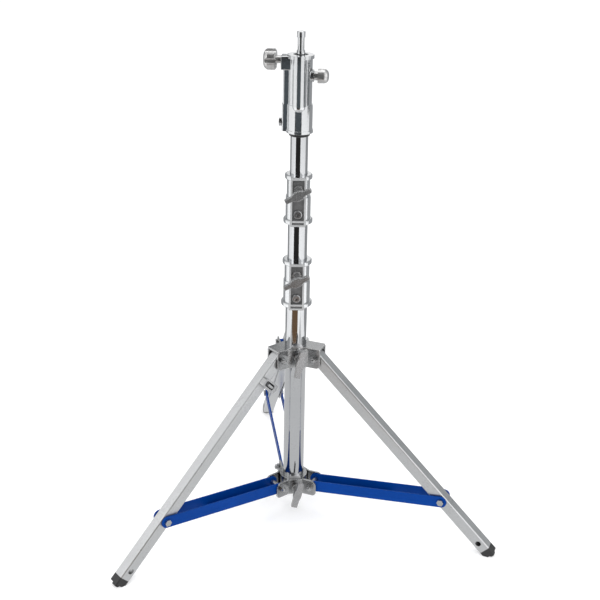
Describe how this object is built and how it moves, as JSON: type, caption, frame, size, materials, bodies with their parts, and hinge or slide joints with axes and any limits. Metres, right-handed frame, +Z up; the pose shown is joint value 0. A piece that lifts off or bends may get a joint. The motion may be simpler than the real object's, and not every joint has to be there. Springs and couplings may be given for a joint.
{
  "type": "folding lighting stand",
  "caption": "Low steel lighting stand: chrome column with nested sliding risers, 16 mm stud, folding braced tripod base and a sliding rear levelling leg.",
  "frame": {"origin": "under the middle of the whole footprint at floor level; the column stands at x -34.5 mm, y -79.0 mm", "axes": "+Z up along the column; the clamp levers face -Y; the rear sliding leg points to about +Y"},
  "size_m": [0.7996, 0.7562, 1.061],
  "materials": {
    "chrome_tube": "mirror-bright chrome plated steel tube",
    "stud_chrome": "bright turned steel",
    "black_plastic": "black moulded plastic",
    "nylon_bush": "natural nylon",
    "nylon_pad": "natural nylon",
    "alloy_pad": "cast aluminium pad",
    "cast_alloy": "polished cast aluminium",
    "lever_alloy": "tumbled cast alloy",
    "socket_screw_steel": "dark zinc plated steel",
    "bolt_steel": "bright zinc plated steel",
    "grey_knob": "satin grey",
    "black_rubber": "black rubber",
    "zinc_plate": "satin bright zinc plated pressing",
    "zinc_leg": "satin bright zinc plated steel",
    "blue_paint": "royal blue gloss paint"
  },
  "bodies": {
    "upper_collar": {"upper_leg_collar": "zinc_plate", "upper_collar_pad": "alloy_pad", "leg_hinge_bolts": "bolt_steel", "leg_hinge_cap_nuts": "bolt_steel", "rear_hinge_bolts": "bolt_steel", "rear_hinge_spacers": "blue_paint"},
    "column_plug": {"base_tube_plug": "black_plastic"},
    "column": {"base_tube": "chrome_tube", "lower_clamp_casting": "cast_alloy", "lower_clamp_pad": "nylon_pad", "lower_clamp_socket_screw": "socket_screw_steel"},
    "riser_1_foot": {"riser_1_bush": "nylon_bush"},
    "riser_1": {"riser_1_tube": "chrome_tube", "upper_clamp_casting": "cast_alloy", "upper_clamp_pad": "nylon_pad", "upper_clamp_socket_screw": "socket_screw_steel"},
    "riser_2_foot": {"riser_2_bush": "nylon_bush"},
    "riser_2": {"riser_2_tube": "chrome_tube", "head_casting": "cast_alloy", "head_bumper_ring": "black_rubber", "head_fixing_bolt": "bolt_steel", "plunger_washer": "bolt_steel"},
    "stud": {"stud_16mm": "stud_chrome"},
    "plunger": {"plunger_knob": "grey_knob"},
    "receiver_knob": {"receiver_knob": "grey_knob"},
    "lower_clamp_lever": {"lower_clamp_lever": "lever_alloy"},
    "upper_clamp_lever": {"upper_clamp_lever": "lever_alloy"},
    "upper_collar_screw": {"upper_collar_wing_screw": "lever_alloy"},
    "lower_collar_screw": {"lower_collar_wing_screw": "lever_alloy"},
    "lower_collar": {"lower_leg_collar": "zinc_plate", "lower_collar_pad": "alloy_pad", "brace_pivot_bolts": "bolt_steel", "brace_pivot_cap_nuts": "bolt_steel", "brace_spacer_tubes": "bolt_steel"},
    "left_leg": {"left_leg_tube": "zinc_leg", "left_leg_cap": "black_plastic", "left_leg_hinge_bush": "bolt_steel", "leg_latch_bracket": "bolt_steel"},
    "latch_pin": {"leg_latch_pin": "bolt_steel"},
    "right_leg": {"right_leg_tube": "zinc_leg", "right_leg_cap": "black_plastic", "right_leg_hinge_bush": "bolt_steel"},
    "rear_sheath": {"rear_leg_sheath": "zinc_leg"},
    "rear_leg": {"rear_leg_tube": "zinc_leg", "rear_leg_cap": "black_plastic"},
    "rear_leg_screw": {"rear_leg_wing_screw": "lever_alloy"},
    "left_brace": {"left_brace": "blue_paint", "left_brace_outer_bolts": "bolt_steel"},
    "right_brace": {"right_brace": "blue_paint", "right_brace_outer_bolts": "bolt_steel"},
    "rear_brace": {"rear_brace_left_bar": "blue_paint", "rear_brace_right_bar": "blue_paint", "rear_brace_outer_bolts": "bolt_steel"}
  },
  "joints": [
    {"name": "lower_collar_slide", "type": "slide", "parent": "upper_collar", "child": "lower_collar", "axis": [0, 0, 1], "range_m": [0, 0.2003]},
    {"name": "left_leg_fold", "type": "hinge", "parent": "upper_collar", "child": "left_leg", "pos_m": [-0.07257, -0.10988, 0.3925], "axis": [0.6293, -0.7771, 0], "range_deg": [0, 36]},
    {"name": "rear_leg_fold", "type": "hinge", "parent": "upper_collar", "child": "rear_sheath", "pos_m": [-0.04216, -0.03065, 0.3925], "axis": [-0.9877, -0.1564, 0], "range_deg": [0, 36]},
    {"name": "right_leg_fold", "type": "hinge", "parent": "upper_collar", "child": "right_leg", "pos_m": [0.01125, -0.0966, 0.3925], "axis": [0.3584, 0.9336, 0], "range_deg": [0, 36]},
    {"name": "left_brace_fold", "type": "hinge", "parent": "lower_collar", "child": "left_brace", "pos_m": [-0.0718, -0.10925, 0.079], "axis": [0.6293, -0.7771, 0], "range_deg": [0, 82.4]},
    {"name": "rear_brace_fold", "type": "hinge", "parent": "lower_collar", "child": "rear_brace", "pos_m": [-0.042, -0.03163, 0.079], "axis": [-0.9877, -0.1564, 0], "range_deg": [0, 82.4]},
    {"name": "right_brace_fold", "type": "hinge", "parent": "lower_collar", "child": "right_brace", "pos_m": [0.01032, -0.09624, 0.079], "axis": [0.3584, 0.9336, 0], "range_deg": [0, 82.4]},
    {"name": "column_slide", "type": "slide", "parent": "upper_collar", "child": "column_plug", "axis": [0, 0, 1], "range_m": [-0.05, 0.015]},
    {"name": "column_turn", "type": "hinge", "parent": "column_plug", "child": "column", "pos_m": [-0.03449, -0.07904, 0.3], "axis": [0, 0, 1], "continuous": true},
    {"name": "riser_1_slide", "type": "slide", "parent": "column", "child": "riser_1_foot", "axis": [0, 0, 1], "range_m": [0, 0.36]},
    {"name": "riser_1_turn", "type": "hinge", "parent": "riser_1_foot", "child": "riser_1", "pos_m": [-0.03449, -0.07904, 0.5], "axis": [0, 0, 1], "continuous": true},
    {"name": "riser_2_slide", "type": "slide", "parent": "riser_1", "child": "riser_2_foot", "axis": [0, 0, 1], "range_m": [0, 0.36]},
    {"name": "riser_2_turn", "type": "hinge", "parent": "riser_2_foot", "child": "riser_2", "pos_m": [-0.03449, -0.07904, 0.7], "axis": [0, 0, 1], "continuous": true},
    {"name": "stud_slide", "type": "slide", "parent": "riser_2", "child": "stud", "axis": [0, 0, 1], "range_m": [-0.11, 0]},
    {"name": "plunger_pull", "type": "slide", "parent": "riser_2", "child": "plunger", "axis": [0.9962, -0.0872, 0], "range_m": [0, 0.006], "stiffness_N_per_m": 800, "springref_m": -0.004},
    {"name": "receiver_knob_turn", "type": "hinge", "parent": "riser_2", "child": "receiver_knob", "pos_m": [-0.03449, -0.07904, 1.007], "axis": [-0.9962, 0.0872, 0], "continuous": true},
    {"name": "lower_clamp_lever_turn", "type": "hinge", "parent": "column", "child": "lower_clamp_lever", "pos_m": [-0.03449, -0.07904, 0.579], "axis": [0, -1, 0], "continuous": true},
    {"name": "upper_clamp_lever_turn", "type": "hinge", "parent": "riser_1", "child": "upper_clamp_lever", "pos_m": [-0.03449, -0.07904, 0.759], "axis": [0, -1, 0], "continuous": true},
    {"name": "upper_collar_screw_turn", "type": "hinge", "parent": "upper_collar", "child": "upper_collar_screw", "pos_m": [-0.03449, -0.07904, 0.394], "axis": [0.1564, -0.9877, 0], "continuous": true},
    {"name": "lower_collar_screw_turn", "type": "hinge", "parent": "lower_collar", "child": "lower_collar_screw", "pos_m": [-0.03449, -0.07904, 0.076], "axis": [0.1564, -0.9877, 0], "continuous": true},
    {"name": "rear_leg_slide", "type": "slide", "parent": "rear_sheath", "child": "rear_leg", "axis": [-0.1125, 0.7105, -0.6947], "range_m": [0, 0.15]},
    {"name": "rear_leg_screw_turn", "type": "hinge", "parent": "rear_sheath", "child": "rear_leg_screw", "pos_m": [-0.08155, 0.21802, 0.14937], "axis": [-0.1087, 0.6861, 0.7193], "continuous": true},
    {"name": "latch_pin_slide", "type": "slide", "parent": "left_leg", "child": "latch_pin", "axis": [-0.5399, -0.4372, 0.7193], "range_m": [0, 0.008]}
  ],
  "couplings": [
    {"joint": "left_leg_fold", "follows": "lower_collar_slide", "rad_per_m": 3.1363},
    {"joint": "rear_leg_fold", "follows": "lower_collar_slide", "rad_per_m": 3.1363},
    {"joint": "right_leg_fold", "follows": "lower_collar_slide", "rad_per_m": 3.1363},
    {"joint": "left_brace_fold", "follows": "lower_collar_slide", "rad_per_m": 7.1783},
    {"joint": "rear_brace_fold", "follows": "lower_collar_slide", "rad_per_m": 7.1783},
    {"joint": "right_brace_fold", "follows": "lower_collar_slide", "rad_per_m": 7.1783}
  ]
}
